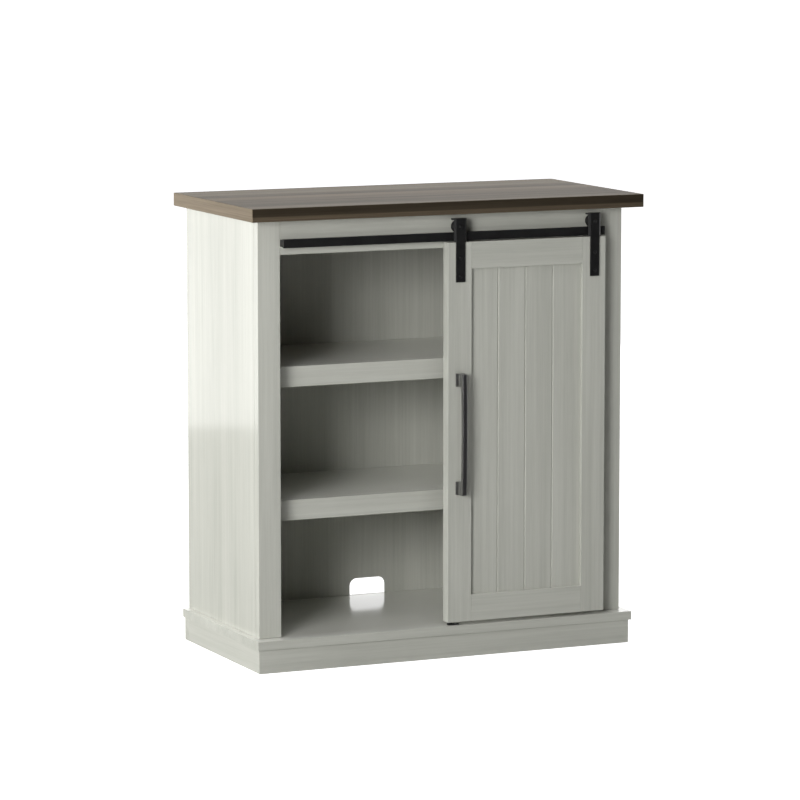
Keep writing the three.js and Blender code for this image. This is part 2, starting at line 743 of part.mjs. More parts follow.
const door = new THREE.Group();
const [leftStileX, rightStileX] = doorStileMiddles;
door.add(
  doorStile('door_left_stile', DOOR_LEFT, 1,
    [...strapScrewHoles(leftStileX), ...handleScrewHoles(leftStileX)]),
  doorStile('door_right_stile', doorRight, -1, strapScrewHoles(rightStileX)),
  doorRail('door_bottom_rail', DOOR_BOTTOM, 1),
  doorRail('door_top_rail', doorTop, -1),
  doorPanel(),
  handleBar(),
  handleFoot('handle_foot_lower', HANDLE_BOTTOM),
  handleFoot('handle_foot_upper', HANDLE_BOTTOM + HANDLE_HEIGHT - HANDLE_FOOT_HEIGHT),
  handleScrew('handle_screw_lower', handleScrews[0]),
  handleScrew('handle_screw_upper', handleScrews[1]),
);
for (const [place, x] of [['left', leftStileX], ['right', rightStileX]]) {
  door.add(
    hangerStrap(`hanger_${place}`, x),
    wheel(`wheel_${place}`, x),
    ...axlePieces(place, x),
    ...hangerScrews(place, x),
  );
}

// The origin is on the floor, under the middle of the box that holds the piece and its handle.
const sideboard = new THREE.Group();
sideboard.add(cabinet, door);
sideboard.position.y = handleProud / 2;

export default sideboard;
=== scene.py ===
import math
import random

import bmesh
import bpy
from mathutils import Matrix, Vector


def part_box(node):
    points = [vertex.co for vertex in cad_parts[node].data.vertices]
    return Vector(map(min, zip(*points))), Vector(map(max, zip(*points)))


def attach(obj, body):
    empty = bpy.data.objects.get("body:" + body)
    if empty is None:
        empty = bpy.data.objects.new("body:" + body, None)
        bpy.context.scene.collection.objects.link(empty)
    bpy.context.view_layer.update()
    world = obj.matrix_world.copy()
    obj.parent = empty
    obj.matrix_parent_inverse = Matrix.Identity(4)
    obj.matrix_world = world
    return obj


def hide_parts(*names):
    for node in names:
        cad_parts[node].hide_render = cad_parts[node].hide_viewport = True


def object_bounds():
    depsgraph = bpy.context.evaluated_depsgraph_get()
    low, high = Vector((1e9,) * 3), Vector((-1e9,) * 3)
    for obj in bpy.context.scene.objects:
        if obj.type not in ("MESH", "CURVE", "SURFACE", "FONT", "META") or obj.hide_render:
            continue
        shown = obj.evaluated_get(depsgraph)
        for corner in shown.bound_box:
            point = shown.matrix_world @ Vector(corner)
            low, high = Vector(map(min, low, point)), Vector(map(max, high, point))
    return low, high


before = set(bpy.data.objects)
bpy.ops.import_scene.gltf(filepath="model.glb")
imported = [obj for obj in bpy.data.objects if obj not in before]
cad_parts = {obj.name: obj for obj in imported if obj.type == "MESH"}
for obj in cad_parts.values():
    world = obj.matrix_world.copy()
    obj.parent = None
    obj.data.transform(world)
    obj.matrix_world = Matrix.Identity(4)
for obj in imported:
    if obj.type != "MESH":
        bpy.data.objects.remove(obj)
cad_low, cad_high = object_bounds()
MM = 0.001

# ---- camera ----
CAMERA_AZIMUTH = -24.288         # degrees, from the front towards the left side
CAMERA_ELEVATION = 7.66
CAMERA_DISTANCE = 8.133
CAMERA_LENS = 190.45
CAMERA_AIM = Vector((0.0113, 0.0682, 0.0282))  # from the middle of the object's box


def make_camera():
    azimuth = math.radians(CAMERA_AZIMUTH)
    elevation = math.radians(CAMERA_ELEVATION)
    back = Vector((
        math.sin(azimuth) * math.cos(elevation),
        -math.cos(azimuth) * math.cos(elevation),
        math.sin(elevation),
    ))
    camera = bpy.data.objects.new("camera", bpy.data.cameras.new("camera"))
    bpy.context.scene.collection.objects.link(camera)
    camera.data.lens = CAMERA_LENS
    camera.data.clip_end = 100
    camera.location = (cad_low + cad_high) / 2 + CAMERA_AIM + back * CAMERA_DISTANCE
    camera.rotation_euler = (-back).to_track_quat("-Z", "Y").to_euler()
    bpy.context.scene.camera = camera


# ---- node helpers ----
def new_material(name):
    material = bpy.data.materials.new(name)
    material.use_nodes = True
    tree = material.node_tree
    return material, tree, tree.nodes["Principled BSDF"]


def add(tree, kind, inputs=None, **settings):
    node = tree.nodes.new(kind)
    for key, value in settings.items():
        setattr(node, key, value)
    for key, value in (inputs or {}).items():
        if isinstance(value, bpy.types.NodeSocket):
            tree.links.new(value, node.inputs[key])
        else:
            node.inputs[key].default_value = value
    return node


def maths(tree, operation, a, b=0.0):
    return add(tree, "ShaderNodeMath", {0: a, 1: b}, operation=operation).outputs[0]


def times(tree, a, b):
    return maths(tree, "MULTIPLY", a, b)


def weighted_sum(tree, *terms):
    """The sum of value times weight over the (value, weight) terms."""
    total = None
    for value, weight in terms:
        part = value if weight == 1 else times(tree, value, weight)
        total = part if total is None else maths(tree, "ADD", total, part)
    return total


def spread(tree, value, low, high, to_low=0.0, to_high=1.0):
    """value from low..high to to_low..to_high, held at the ends."""
    inputs = {"Value": value, "From Min": low, "From Max": high, "To Min": to_low, "To Max": to_high}
    return add(tree, "ShaderNodeMapRange", inputs).outputs["Result"]


def blend_values(tree, share, first, second):
    return add(tree, "ShaderNodeMix", {0: share, 2: first, 3: second}).outputs[0]


def blend_colours(tree, share, first, second):
    mix = add(tree, "ShaderNodeMix", {0: share, 6: first, 7: second}, data_type="RGBA")
    return mix.outputs[2]


def colour_channel(tree, colour, index):
    return add(tree, "ShaderNodeSeparateColor", {0: colour}).outputs[index]


def parts_of(tree, vector):
    """The x, y and z sockets of a vector."""
    return add(tree, "ShaderNodeSeparateXYZ", {0: vector}).outputs


NOISE_SPAN = (0.3, 0.7)                 # where most of a noise's values lie


def noise(tree, place, scale=1.0, detail=3.0, roughness=0.5, distortion=0.0):
    inputs = {
        "Vector": place,
        "Scale": scale,
        "Detail": detail,
        "Roughness": roughness,
        "Distortion": distortion,
    }
    return add(tree, "ShaderNodeTexNoise", inputs).outputs["Fac"]


def object_place(tree):
    return add(tree, "ShaderNodeTexCoord").outputs["Object"]


def stretched(tree, place, scale, offset=(0, 0, 0)):
    inputs = {"Vector": place, "Location": offset, "Scale": scale}
    return add(tree, "ShaderNodeMapping", inputs).outputs["Vector"]


def edge_wear(tree, radius, low=0.015, high=0.16):
    """1 on outer and inner edges, 0 on flat faces."""
    rounded = add(tree, "ShaderNodeBevel", {"Radius": radius}, samples=4).outputs["Normal"]
    normal = add(tree, "ShaderNodeNewGeometry").outputs["Normal"]
    facing = add(tree, "ShaderNodeVectorMath", {0: rounded, 1: normal}, operation="DOT_PRODUCT")
    away = maths(tree, "SUBTRACT", 1.0, facing.outputs["Value"])
    return spread(tree, away, low, high)


def set_colour(tree, shader, colour):
    tree.links.new(colour, shader.inputs["Base Color"])


def set_roughness(tree, shader, value, span, roughness):
    """Roughness that goes from the first to the second as the value goes over its span."""
    tree.links.new(spread(tree, value, *span, *roughness), shader.inputs["Roughness"])


def add_bump(tree, shader, height, distance, strength):
    inputs = {"Height": height, "Distance": distance, "Strength": strength}
    bump = add(tree, "ShaderNodeBump", inputs)
    tree.links.new(bump.outputs["Normal"], shader.inputs["Normal"])


def offset_for(seed, reach=7.0):
    """A place of its own in the noise for each board."""
    chance = random.Random(seed)
    return tuple(chance.uniform(-reach, reach) for _ in range(3))


# ---- painted wood ----
GREY_LIGHT = (0.585, 0.59, 0.535, 1)
GREY_DARK = (0.435, 0.44, 0.393, 1)
GREY_PAINTED_TOP_LIGHT = (0.88, 0.88, 0.82, 1)      # painted light: the paler grey that faces which look up take on, as if lit from above
TOP_LIGHT_SHARE = 0.95
FACES_UP = (0.6, 0.95)                  # the normal's z where the painted light starts and is full
# Noise cells for each metre along the grain and across it.
GRAIN_BROAD = (1.3, 38)
GRAIN_STREAKS = (3.2, 210)
GRAIN_FINE = (22, 1300)
GRAIN_PATCHES = (2.0, 5.0)
KNOT_CELLS = (3.4, 10.5)
CELLS_WITHOUT_KNOT = 0.74
KNOT_SIZE = (0.02, 0.085)               # in cells, from full dark to none
HALO_SIZE = (0.05, 0.26)
PAINT_ROUGHNESS = (0.09, 0.17)


def painted_wood(name, axis, seed):
    """Greige paint over a printed grain that runs along one axis of the board."""
    material, tree, shader = new_material(name)
    place = object_place(tree)
    offset = offset_for(seed)

    def along_grain(cells):
        along, across = cells
        return stretched(tree, place, tuple(along if a == axis else across for a in "XYZ"), offset)

    broad = noise(tree, along_grain(GRAIN_BROAD), detail=4, distortion=0.25)
    streaks = noise(tree, along_grain(GRAIN_STREAKS), detail=5, roughness=0.6)
    fine = noise(tree, along_grain(GRAIN_FINE), detail=3, roughness=0.6)
    patches = noise(tree, along_grain(GRAIN_PATCHES), detail=2)

    knots = add(tree, "ShaderNodeTexVoronoi", {"Vector": along_grain(KNOT_CELLS), "Scale": 1.0}).outputs
    chosen = maths(tree, "GREATER_THAN", colour_channel(tree, knots["Color"], 0), CELLS_WITHOUT_KNOT)
    knot = times(tree, chosen, spread(tree, knots["Distance"], *KNOT_SIZE, 1.0, 0.0))
    halo = times(tree, chosen, spread(tree, knots["Distance"], *HALO_SIZE, 1.0, 0.0))

    shade = weighted_sum(tree, (broad, 0.42), (streaks, 0.38), (fine, 0.22), (patches, 0.26))
    shade = spread(tree, shade, 0.44, 0.84)
    worn = edge_wear(tree, 1.4 * MM)
    shade = weighted_sum(tree, (shade, 1), (knot, -0.75), (halo, -0.175), (worn, 0.18))
    shade = maths(tree, "MAXIMUM", shade, 0.0)
    colour = blend_colours(tree, shade, GREY_DARK, GREY_LIGHT)
    # Painted light: faces that look up blend towards a pale grey, as if lit from above.
    upward = parts_of(tree, add(tree, "ShaderNodeTexCoord").outputs["Normal"])[2]
    painted_top_light = times(tree, spread(tree, upward, *FACES_UP), TOP_LIGHT_SHARE)
    set_colour(tree, shader, blend_colours(tree, painted_top_light, colour, GREY_PAINTED_TOP_LIGHT))
    set_roughness(tree, shader, fine, NOISE_SPAN, PAINT_ROUGHNESS)
    add_bump(tree, shader, weighted_sum(tree, (streaks, 0.5), (fine, 0.5)), 0.04 * MM, 0.5)
    return material


# ---- walnut top ----
WALNUT_DARK = (0.078, 0.058, 0.038, 1)
WALNUT_LIGHT = (0.32, 0.255, 0.175, 1)
WALNUT_GREY = (0.295, 0.26, 0.20, 1)
BAND_DEEP = (0.017, 0.012, 0.007, 1)
BAND_DARK = (0.062, 0.048, 0.031, 1)
BAND_LIGHT = (0.165, 0.128, 0.086, 1)
PLANK_WIDTH = 48 * MM
PLANK_REACH = 11.0                      # metres along the grain over which planks are shifted
GRAIN_WOBBLE = 6 * MM
EDGE_SHIFT = 3.018                      # metres: keeps the edge's print on one plank of its own
END_SHIFT = 5.3                         # metres: gives the short ends a print of their own
LOW_BAND = (14.5 * MM, 17 * MM)         # below the top face, where the edge's print turns paler
PRINT_TURNS = (0.3, 0.7)                # part of the normal over which a face's print gives way to an edge's
WALNUT_ROUGHNESS = (0.66, 0.52)
WALNUT_SPECULAR = 0.25
# Noise cells for each metre along the grain and across it.
WALNUT_BANDS = (1.4, 62, 1)
WALNUT_LINES = (3.5, 330, 1)
WALNUT_PORES = (38, 1500, 1)


def walnut_laminate(name):
    """Weathered walnut print in narrow planks, wrapped round the edges of the top."""
    material, tree, shader = new_material(name)
    coordinates = add(tree, "ShaderNodeTexCoord").outputs
    x, y, z = parts_of(tree, coordinates["Object"])
    facing_x, _, facing_z = parts_of(tree, coordinates["Normal"])
    on_edge = spread(tree, maths(tree, "ABSOLUTE", facing_z), *PRINT_TURNS, 1.0, 0.0)
    on_end = spread(tree, maths(tree, "ABSOLUTE", facing_x), *PRINT_TURNS)
    across = blend_values(tree, on_edge, y, maths(tree, "ADD", z, EDGE_SHIFT))
    along = blend_values(tree, on_end, x, maths(tree, "ADD", y, END_SHIFT))

    wobble_at = add(tree, "ShaderNodeCombineXYZ", {0: times(tree, along, 2.2), 1: across}).outputs[0]
    wobble = maths(tree, "SUBTRACT", noise(tree, wobble_at, scale=1.6, detail=2), 0.5)
    bent = weighted_sum(tree, (across, 1), (wobble, GRAIN_WOBBLE))
    plank = maths(tree, "FLOOR", maths(tree, "DIVIDE", across, PLANK_WIDTH))
    chance = add(tree, "ShaderNodeTexWhiteNoise", {"W": plank}, noise_dimensions="1D").outputs
    tone = chance["Value"]
    greyness = colour_channel(tree, chance["Color"], 1)

    shifted = weighted_sum(tree, (along, 1), (tone, PLANK_REACH))
    grain_at = add(tree, "ShaderNodeCombineXYZ", {0: shifted, 1: bent}).outputs[0]
    bands = noise(tree, stretched(tree, grain_at, WALNUT_BANDS), detail=4, roughness=0.55, distortion=0.4)
    lines = noise(tree, stretched(tree, grain_at, WALNUT_LINES), detail=5, roughness=0.65)
    pores = noise(tree, stretched(tree, grain_at, WALNUT_PORES), detail=2, roughness=0.6)
    pore = spread(tree, pores, 0.58, 0.74)

    shade = weighted_sum(tree, (tone, 0.42), (bands, 0.72), (lines, 0.42))
    shade = spread(tree, shade, 0.42, 1.08)
    shade = weighted_sum(tree, (shade, 1), (pore, -0.16), (edge_wear(tree, 1.2 * MM), 0.16))
    shade = maths(tree, "MAXIMUM", shade, 0.0)
    light = blend_colours(tree, greyness, WALNUT_LIGHT, WALNUT_GREY)
    face_colour = blend_colours(tree, shade, WALNUT_DARK, light)

    below_top = maths(tree, "SUBTRACT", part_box("top_panel")[1].z, z)
    band_light = blend_colours(tree, spread(tree, below_top, *LOW_BAND), BAND_DARK, BAND_LIGHT)
    band_colour = blend_colours(tree, shade, BAND_DEEP, band_light)
    on_long_edge = times(tree, on_edge, maths(tree, "SUBTRACT", 1.0, on_end))
    set_colour(tree, shader, blend_colours(tree, on_long_edge, face_colour, band_colour))
    shader.inputs["Specular IOR Level"].default_value = WALNUT_SPECULAR
    set_roughness(tree, shader, lines, NOISE_SPAN, WALNUT_ROUGHNESS)
    add_bump(tree, shader, weighted_sum(tree, (lines, 1), (pore, -0.6)), 0.15 * MM, 0.5)
    return material


# ---- metal and nylon ----
BLACK_DEEP = (0.0095, 0.0095, 0.010, 1)
BLACK_PALE = (0.0155, 0.0155, 0.0155, 1)
# Paler black for the edges: part rubbed wear, part painted highlight.
BLACK_EDGE_WEAR_AND_HIGHLIGHT = (0.075, 0.075, 0.073, 1)
BLACK_ROUGHNESS = (0.36, 0.5)
NICKEL_DARK = (0.40, 0.398, 0.402, 1)
NICKEL_LIGHT = (0.52, 0.517, 0.52, 1)
NICKEL_RUBBED = (0.6, 0.59, 0.58, 1)
NICKEL_ROUGHNESS = (0.26, 0.4)
NYLON_DARK = (0.010, 0.010, 0.010, 1)
NYLON_LIGHT = (0.022, 0.022, 0.021, 1)
NYLON_ROUGHNESS = (0.42, 0.58)
ZINC_DARK = (0.40, 0.405, 0.41, 1)
ZINC_LIGHT = (0.62, 0.62, 0.61, 1)
ZINC_ROUGHNESS = (0.26, 0.42)


def black_coat(name):
    """Satin black powder coat with a fine orange-peel surface, and edges made paler partly for rubbed wear
    and partly as a painted highlight.
    """
    material, tree, shader = new_material(name)
    place = object_place(tree)
    peel = noise(tree, place, scale=1500, detail=2)
    cloud = noise(tree, place, scale=55, detail=4, roughness=0.6)
    # Edges turn paler: partly rubbed wear, partly a painted highlight.
    worn = times(tree, edge_wear(tree, 0.7 * MM), cloud)
    base = blend_colours(tree, spread(tree, cloud, *NOISE_SPAN), BLACK_DEEP, BLACK_PALE)
    set_colour(tree, shader, blend_colours(tree, worn, base, BLACK_EDGE_WEAR_AND_HIGHLIGHT))
    set_roughness(tree, shader, cloud, NOISE_SPAN, BLACK_ROUGHNESS)
    add_bump(tree, shader, peel, 0.03 * MM, 0.6)
    return material


def gunmetal(name):
    """Dark nickel plate, brushed up and down, paler where hands rub the edges."""
    material, tree, shader = new_material(name)
    place = object_place(tree)
    brushed = noise(tree, stretched(tree, place, (2600, 2600, 26)), detail=3, roughness=0.6)
    cloud = noise(tree, place, scale=38, detail=4)
    worn = times(tree, edge_wear(tree, 0.8 * MM), spread(tree, cloud, 0.35, 0.65))
    base = blend_colours(tree, cloud, NICKEL_DARK, NICKEL_LIGHT)
    set_colour(tree, shader, blend_colours(tree, worn, base, NICKEL_RUBBED))
    set_roughness(tree, shader, brushed, (0.25, 0.75), NICKEL_ROUGHNESS)
    shader.inputs["Metallic"].default_value = 1.0
    add_bump(tree, shader, brushed, 0.012 * MM, 0.5)
    return material


def nylon(name):
    """Black moulded nylon."""
    material, tree, shader = new_material(name)
    place = object_place(tree)
    cloud = noise(tree, place, scale=240, detail=4, roughness=0.65)
    set_colour(tree, shader, blend_colours(tree, cloud, NYLON_DARK, NYLON_LIGHT))
    set_roughness(tree, shader, cloud, NOISE_SPAN, NYLON_ROUGHNESS)
    add_bump(tree, shader, noise(tree, place, scale=2200, detail=2), 0.02 * MM, 0.5)
    return material


def zinc(name):
    """Bright zinc plate with the spangle of small fasteners."""
    material, tree, shader = new_material(name)
    place = object_place(tree)
    spangle = add(tree, "ShaderNodeTexVoronoi", {"Vector": place, "Scale": 900.0}).outputs["Distance"]
    cloud = noise(tree, place, scale=300, detail=3)
    set_colour(tree, shader, blend_colours(tree, cloud, ZINC_DARK, ZINC_LIGHT))
    set_roughness(tree, shader, spangle, (0.0, 0.8), ZINC_ROUGHNESS)
    shader.inputs["Metallic"].default_value = 1.0
    add_bump(tree, shader, spangle, 0.01 * MM, 0.4)
    return material


# The material of each of the record's slots apart from the wood.
FINISHES = {
    "black_steel": black_coat("black_steel"),
    "gunmetal": gunmetal("gunmetal"),
    "black_nylon": nylon("black_nylon"),
    "zinc_steel": zinc("zinc_steel"),
}


# ---- mesh helpers ----
def link_mesh(name, grid, material, smooth=True):
    """A new object from a finished bmesh."""
    bmesh.ops.recalc_face_normals(grid, faces=grid.faces)
    mesh = bpy.data.meshes.new(name)
    for face in grid.faces:
        face.smooth = smooth
    grid.to_mesh(mesh)
    grid.free()
    piece = bpy.data.objects.new(name, mesh)
    bpy.context.scene.collection.objects.link(piece)
    piece.data.materials.append(material)
    return piece


def place_piece(piece, body, slot, *nodes):
    """Lets a new piece ride on its body and stand for the CAD nodes named."""
    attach(piece, body)
    if nodes:
        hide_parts(*nodes)


def lofted(name, rings, material, closed=False):
    """Skin over rings of points. It has flat ends, or goes on from the last ring to the first if closed.
    A ring of one point closes that end."""
    grid = bmesh.new()
    rows = [[grid.verts.new(point) for point in ring] for ring in rings]
    after = rows[1:] + rows[:1] if closed else rows[1:]
    for first, second in zip(rows, after):
        count = max(len(first), len(second))
        for i in range(count):
            j = (i + 1) % count
            corners = [first[i % len(first)], first[j % len(first)]]
            corners += [second[j % len(second)], second[i % len(second)]]
            grid.faces.new(list(dict.fromkeys(corners)))
    ends = [] if closed else [rows[0], rows[-1]]
    for row in ends:
        if len(row) > 2:
            grid.faces.new(row)
    return link_mesh(name, grid, material)


def upright_prism(name, outline, low, high, material, smooth=True):
    """A level outline of x and y carried from one height to another."""
    grid = bmesh.new()
    bottom = [grid.verts.new((x, y, low)) for x, y in outline]
    top = [grid.verts.new((x, y, high)) for x, y in outline]
    grid.faces.new(bottom)
    grid.faces.new(top)
    for i in range(len(outline)):
        j = (i + 1) % len(outline)
        grid.faces.new([bottom[i], bottom[j], top[j], top[i]])
    return link_mesh(name, grid, material, smooth)


def sharpen_by_angle(degrees=35):
    """A node group that shades faces smooth and keeps edges sharper than the angle."""
    group = bpy.data.node_groups.new("smooth_by_angle", "GeometryNodeTree")
    group.interface.new_socket("Geometry", in_out="INPUT", socket_type="NodeSocketGeometry")
    group.interface.new_socket("Geometry", in_out="OUTPUT", socket_type="NodeSocketGeometry")
    source = group.nodes.new("NodeGroupInput")
    result = group.nodes.new("NodeGroupOutput")
    faces = add(group, "GeometryNodeSetShadeSmooth", {"Geometry": source.outputs[0]}, domain="FACE")
    angle = add(group, "GeometryNodeInputMeshEdgeAngle").outputs["Unsigned Angle"]
    sharp = add(group, "FunctionNodeCompare", {0: angle, 1: math.radians(degrees)}, operation="GREATER_THAN")
    edges = add(group, "GeometryNodeSetShadeSmooth", {
        "Geometry": faces.outputs[0],
        "Selection": sharp.outputs[0],
        "Shade Smooth": False,
    }, domain="EDGE")
    group.links.new(edges.outputs[0], result.inputs[0])
    return group


SMOOTH_BY_ANGLE = sharpen_by_angle()


def shade_by_angle(piece):
    """Keeps the sharp edges of a smooth piece sharp."""
    shade = piece.modifiers.new("shade", "NODES")
    shade.node_group = SMOOTH_BY_ANGLE


WELD_REACH = 0.02 * MM
FLAT_ANGLE = math.radians(0.5)          # faces that turn by less than this are joined into one


def ease_edges(piece, width, segments=2, angle=30):
    """Rounds the edges of a board or a machined piece."""
    weld = piece.modifiers.new("weld", "WELD")
    weld.merge_threshold = WELD_REACH
    flats = piece.modifiers.new("flats", "DECIMATE")
    flats.decimate_type = "DISSOLVE"
    flats.angle_limit = FLAT_ANGLE
    bevel = piece.modifiers.new("eased_edges", "BEVEL")
    bevel.width = width
    bevel.segments = segments
    bevel.limit_method = "ANGLE"
    bevel.angle_limit = math.radians(angle)
    bevel.use_clamp_overlap = True
    shade_by_angle(piece)
    normals = piece.modifiers.new("normals", "WEIGHTED_NORMAL")
    normals.keep_sharp = True


def finish_cad(name, material, width, segments=2):
    """Gives a CAD node its finish and eased edges."""
    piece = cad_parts[name]
    piece.data.materials.clear()
    piece.data.materials.append(material)
    ease_edges(piece, width, segments)


# ---- wood ----
BOARD_EDGE = 0.9 * MM
FRAME_EDGE = 0.45 * MM
BACK_EDGE = 0.25 * MM
TOP_EDGE = 1.1 * MM
FINE_BEVEL = 3                          # segments of an eased edge that shows well
# The boards by the axis that their grain runs along.
BOARDS = {
    "X": ["top_rail", "rear_stretcher", "bottom_panel", "plinth_front", "plinth_rear",
          "lower_shelf_apron", "upper_shelf_apron", "lower_shelf_board", "upper_shelf_board",
          "door_bottom_rail", "door_top_rail"],
    "Y": ["plinth_left", "plinth_right", "plinth_brace"],
    "Z": ["left_side_panel", "right_side_panel", "left_stile", "right_stile", "back_panel",
          "door_left_stile", "door_right_stile", "door_panel"],
}


def board_edge(name):
    """How wide a board's edges are eased."""
    if name == "back_panel":
        return BACK_EDGE
    if name.startswith("door") or name == "top_rail":
        return FRAME_EDGE
    return BOARD_EDGE


def dress_wood():
    seed = 0
    for axis, names in BOARDS.items():
        for name in names:
            seed += 1
            finish_cad(name, painted_wood(f"grey_wood_{name}", axis, seed), board_edge(name))
    finish_cad("top_panel", walnut_laminate("walnut_top"), TOP_EDGE, FINE_BEVEL)


GLUE_BITE = 0.1 * MM                    # into the boards above and the panel below
GLUE_EDGE = 2 * MM                      # in from both faces of a side panel and from a stile's front
GLUE_REAR_EDGE = 0.6 * MM               # in from both faces of the back panel
GLUE_SEED = 99


def make_glue_line():
    """The bead of glue between the case's upright boards and the bottom panel. It closes their joint."""
    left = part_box("left_side_panel")
    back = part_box("back_panel")
    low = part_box("bottom_panel")[1].z - GLUE_BITE
    high = back[0].z + GLUE_BITE
    outer = left[0].x + GLUE_EDGE
    inner = left[1].x - GLUE_EDGE
    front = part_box("left_stile")[0].y + GLUE_EDGE
    rear_inner = back[0].y + GLUE_REAR_EDGE
    rear = back[1].y - GLUE_REAR_EDGE
    outline = [
        (outer, front), (inner, front), (inner, rear_inner), (-inner, rear_inner),
        (-inner, front), (-outer, front), (-outer, rear), (outer, rear),
    ]
    material = painted_wood("grey_wood_glue", "X", GLUE_SEED)
    bead = upright_prism("glue_line", outline, low, high, material, smooth=False)
    place_piece(bead, "cabinet", "grey_wood")


# ---- turned pieces ----
SIDES = 48


def on_axis(centre, axis, distance):
    """The point at a distance along the line through centre along Y or X."""
    if axis == "Y":
        return Vector((centre.x, distance, centre.z))
    return Vector((distance, centre.y, centre.z))


def ring_points(centre, axis, distance, radius):
    """A ring about the line through centre along Y or X. The radius may be a function of the angle."""
    points = []
    for i in range(SIDES):
        angle = 2 * math.pi * i / SIDES
        r = radius(angle) if callable(radius) else radius
        a, b = r * math.cos(angle), r * math.sin(angle)
        if axis == "Y":
            points.append(Vector((centre.x + a, distance, centre.z + b)))
        else:
            points.append(Vector((distance, centre.y + a, centre.z + b)))
    return points


def turned(node, body, slot, rings, closed=False):
    """A round piece that stands for its CAD node."""
    piece = lofted(f"{node}_turned", rings, FINISHES[slot], closed)
    shade_by_angle(piece)
    place_piece(piece, body, slot, node)


def lathed(node, body, slot, axis, profile):
    """A piece turned about Y or X through the middle of its CAD node. The profile is radius and distance."""
    low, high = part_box(node)
    centre = (low + high) / 2
    closed = profile[0] == profile[-1]
    rings = []
    for radius, distance in profile[:-1] if closed else profile:
        if radius == 0:
            rings.append([on_axis(centre, axis, distance)])
        else:
            rings.append(ring_points(centre, axis, distance, radius))
    turned(node, body, slot, rings, closed)


def hexagon(across_flats):
    """Radius of a hexagon at an angle."""
    sixth = math.pi / 3
    return lambda angle: across_flats / 2 / math.cos((angle % sixth) - sixth / 2)


# ---- screws and bolts ----
# Each kind's shank radius, head height and socket width, the last as a share of the head's radius.
TRACK_BOLT = (2.3 * MM, 3.2 * MM, 0.9)
AXLE_BOLT = (2.6 * MM, 2.6 * MM, 0.8)
HANGER_SCREW = (2.1 * MM, 2.2 * MM, 0.8)
HANDLE_SCREW = (2.0 * MM, 2.4 * MM, 0.9)
SOCKET_DEPTH = 0.62                     # of the head's height
DOME_START = 0.78                       # radius of the dome's first ring, of the socket's width
DOME_STEPS = 8
TIP_SHARE = 0.6                         # the tip's radius, of the shank's
LEAD_SHARE = 0.5                        # the length of the lead-in, of the shank's radius


def domed_screw(node, body, slot, kind, flip=False):
    """A button-head screw along Y with a hexagon socket. The head is at the low end, or if flipped at the
    high end."""
    shank, head_height, socket = kind
    low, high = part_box(node)
    centre = (low + high) / 2
    head_radius = (high.x - low.x) / 2
    crown, tip, inward = (high.y, low.y, -1) if flip else (low.y, high.y, 1)
    flats = socket * head_radius
    bore = hexagon(flats)
    bottom = crown + inward * SOCKET_DEPTH * head_height

    def on_dome(radius):
        slope = math.asin(min(1.0, radius / head_radius))
        return crown + inward * head_height * (1 - math.cos(slope))

    brim = ring_points(centre, "Y", crown, bore)
    for point in brim:
        point.y = on_dome(math.hypot(point.x - centre.x, point.z - centre.z))
    rings = [[on_axis(centre, "Y", bottom)], ring_points(centre, "Y", bottom, bore), brim]
    first = math.asin(DOME_START * flats / head_radius)
    for i in range(DOME_STEPS + 1):
        slope = first + (math.pi / 2 - first) * i / DOME_STEPS
        radius = head_radius * math.sin(slope)
        rings.append(ring_points(centre, "Y", on_dome(radius), radius))
    lead = LEAD_SHARE * shank
    rings.append(ring_points(centre, "Y", crown + inward * head_height, shank))
    rings.append(ring_points(centre, "Y", tip - inward * lead, shank))
    rings.append(ring_points(centre, "Y", tip, TIP_SHARE * shank))
    turned(node, body, slot, rings)


# ---- handle ----
BAR_DEPTH = 9.6 * MM
BAR_CORNER = 1.5 * MM
BAR_END = 2.2 * MM                      # length over which the bar's ends are rounded
BAR_PINCH = 1.3 * MM                    # how much its sides draw in there
BAR_END_STEPS = 4
BAR_STEPS = 40
FOOT_LIP = 1.2 * MM                     # straight part of the foot at the door
FOOT_SHIFT = 0.2 * MM                   # towards the door, which nearly closes the gap there
FOOT_FLARE = 2.2                        # power of the flare's curve
FOOT_STEPS = 12
FOOT_EDGE = 0.5 * MM
FOOT_EDGE_ANGLE = 28                    # degrees: an edge that turns by more is eased


def rounded_rectangle(x0, x1, y0, y1, radius, steps=3):
    points = []
    corners = [(x1 - radius, y1 - radius, 0), (x0 + radius, y1 - radius, 90),
               (x0 + radius, y0 + radius, 180), (x1 - radius, y0 + radius, 270)]
    for cx, cy, start in corners:
        for i in range(steps + 1):
            angle = math.radians(start + 90 * i / steps)
            points.append((cx + radius * math.cos(angle), cy + radius * math.sin(angle)))
    return points


def bar_levels(low, high):
    """Heights along the bar, close together where its ends are rounded."""
    end = [low + BAR_END * (1 - math.cos(math.pi / 2 * i / BAR_END_STEPS)) for i in range(BAR_END_STEPS)]
    straight = high - low - 2 * BAR_END
    middle = [low + BAR_END + straight * i / BAR_STEPS for i in range(BAR_STEPS + 1)]
    return end + middle + [high - (z - low) for z in reversed(end)]


def make_handle_bar():
    """The bar bows forward between its feet, and its rear is flat over them."""
    low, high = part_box("handle_bar")
    foot_low, foot_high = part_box("handle_foot_lower")
    bow = (high.y - low.y) - BAR_DEPTH
    middle, half = (low.z + high.z) / 2, (high.z - low.z) / 2
    clear = half - (foot_high.z - foot_low.z)
    rings = []
    for z in bar_levels(low.z, high.z):
        from_end = min(z - low.z, high.z - z)
        rounding = max(0.0, 1 - from_end / BAR_END)
        pinch = BAR_PINCH * (1 - math.sqrt(max(0.0, 1 - rounding * rounding)))
        away = abs(z - middle)
        front = low.y + bow * (away / half) ** 2 + pinch
        rear = high.y - bow * max(0.0, 1 - (away / clear) ** 2) - 0.3 * pinch
        section = rounded_rectangle(low.x + pinch, high.x - pinch, front, rear, BAR_CORNER)
        rings.append([Vector((x, y, z)) for x, y in section])
    bar = lofted("handle_bar_brushed", rings, FINISHES["gunmetal"])
    shade_by_angle(bar)
    place_piece(bar, "door", "gunmetal", "handle_bar")


